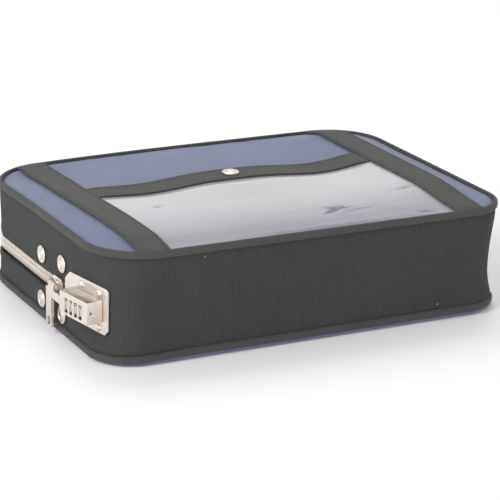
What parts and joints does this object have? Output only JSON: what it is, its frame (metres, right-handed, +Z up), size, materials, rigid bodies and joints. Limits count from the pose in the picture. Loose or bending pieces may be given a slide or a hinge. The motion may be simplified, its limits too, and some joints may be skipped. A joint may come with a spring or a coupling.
{
  "type": "cash deposit bag",
  "caption": "Flat soft-sided cash bag with a zip round three sides, a dial lock holding the zip's slider, and a clear snap-fastened document pocket on its lid.",
  "frame": {"origin": "middle of the flat underside, on the surface that the bag stands on", "axes": "+X to the bag's right, +Y to its back, +Z up; the front wall faces -Y and the lock is on the left wall, which faces -X"},
  "size_m": [0.3863, 0.273, 0.1001],
  "materials": {
    "blue_cloth": "plain woven nylon, coated, soft sheen",
    "black_canvas": "ribbed black canvas, matt",
    "black_webbing": "woven tape, matt",
    "zip_tape": "woven zip tape, matt",
    "clear_vinyl": "clear soft vinyl sheet, glossy",
    "nickel": "satin nickel plate, slightly warm",
    "dial_metal": "satin nickel with dark numbers",
    "steel": "plain zinc-plated steel",
    "stiffener": "flexible board, matt"
  },
  "bodies": {
    "base": {"bottom_panel": "blue_cloth", "bottom_board": "stiffener", "bottom_binding": "black_webbing", "front_gusset": "black_canvas", "lower_gusset": "black_canvas", "zip_tape_lower": "zip_tape", "zip_teeth_lower": "nickel", "zip_stop_lower": "nickel", "zip_end_box": "nickel", "side_stud_3": "nickel", "side_stud_4": "nickel", "stud_washer_3": "steel", "stud_washer_4": "steel", "lock_plate": "nickel", "lock_backing_plate": "steel", "lock_housing": "nickel", "detent_spring": "steel", "lock_rivet_1": "nickel", "lock_rivet_2": "nickel", "lock_rivet_3": "nickel", "lock_rivet_4": "nickel"},
    "lid": {"top_panel": "blue_cloth", "top_board": "stiffener", "top_binding": "black_webbing", "upper_gusset": "black_canvas", "zip_tape_upper": "zip_tape", "zip_teeth_upper": "nickel", "zip_stop_upper": "nickel", "strap_left": "black_webbing", "strap_right": "black_webbing", "pocket_window": "clear_vinyl", "pocket_mouth_band": "black_webbing", "snap_cap": "nickel", "snap_socket": "nickel", "snap_stud": "nickel", "snap_post": "steel", "side_stud_1": "nickel", "side_stud_2": "nickel", "stud_washer_1": "steel", "stud_washer_2": "steel"},
    "slider": {"slider_body": "nickel"},
    "pull": {"pull_tab": "nickel"},
    "dial_first": {"dial_1": "dial_metal"},
    "dial_second": {"dial_2": "dial_metal"},
    "dial_third": {"dial_3": "dial_metal"},
    "dial_fourth": {"dial_4": "dial_metal"},
    "bolt": {"lock_bolt": "steel"}
  },
  "joints": [
    {"name": "lid_hinge", "type": "hinge", "parent": "base", "child": "lid", "pos_m": [0, -0.1368, 0.08755], "axis": [1, 0, 0], "range_deg": [0, 75]},
    {"name": "slider_slide", "type": "slide", "parent": "base", "child": "slider", "axis": [0, 1, 0], "range_m": [0, 0.118]},
    {"name": "pull_swing", "type": "hinge", "parent": "slider", "child": "pull", "pos_m": [-0.19075, -0.042, 0.044], "axis": [0, 1, 0], "range_deg": [0, 100]},
    {"name": "dial_1_turn", "type": "hinge", "parent": "base", "child": "dial_first", "pos_m": [-0.1924, -0.08495, 0.0413], "axis": [0.1805, -0.9836, 0], "continuous": true},
    {"name": "dial_2_turn", "type": "hinge", "parent": "base", "child": "dial_second", "pos_m": [-0.19119, -0.09154, 0.0413], "axis": [0.1805, -0.9836, 0], "continuous": true},
    {"name": "dial_3_turn", "type": "hinge", "parent": "base", "child": "dial_third", "pos_m": [-0.18998, -0.09813, 0.0413], "axis": [0.1805, -0.9836, 0], "continuous": true},
    {"name": "dial_4_turn", "type": "hinge", "parent": "base", "child": "dial_fourth", "pos_m": [-0.18877, -0.10472, 0.0413], "axis": [0.1805, -0.9836, 0], "continuous": true},
    {"name": "bolt_slide", "type": "slide", "parent": "base", "child": "bolt", "axis": [-0.1805, 0.9836, 0], "range_m": [0, 0.005]}
  ]
}
